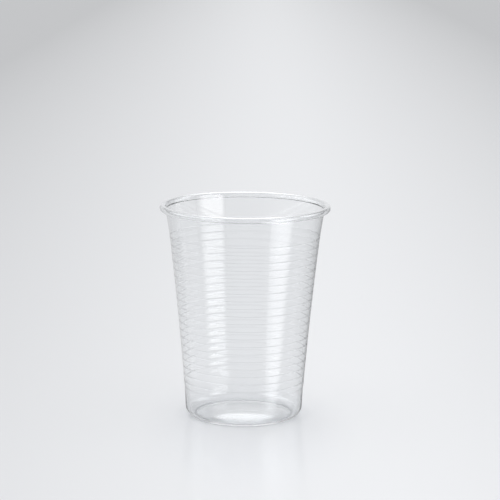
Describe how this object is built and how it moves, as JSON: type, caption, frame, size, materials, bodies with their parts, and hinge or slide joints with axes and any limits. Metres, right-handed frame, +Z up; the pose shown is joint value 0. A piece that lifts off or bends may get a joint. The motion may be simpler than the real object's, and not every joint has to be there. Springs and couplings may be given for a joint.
{
  "type": "disposable drinking cup",
  "caption": "Clear thermoformed disposable drinking cup with a rolled rim, a tapered wall with fine ring grooves, a plain foot band and a shallow domed base.",
  "frame": {"origin": "middle of the foot, on the surface that the cup stands on", "axes": "+Z up, along the axis of the cup, from the base to the rim"},
  "size_m": [0.07, 0.07, 0.088],
  "materials": {
    "clear_plastic": "clear, glossy and very slightly hazy"
  },
  "bodies": {
    "root": {"cup": "clear_plastic"}
  },
  "joints": []
}
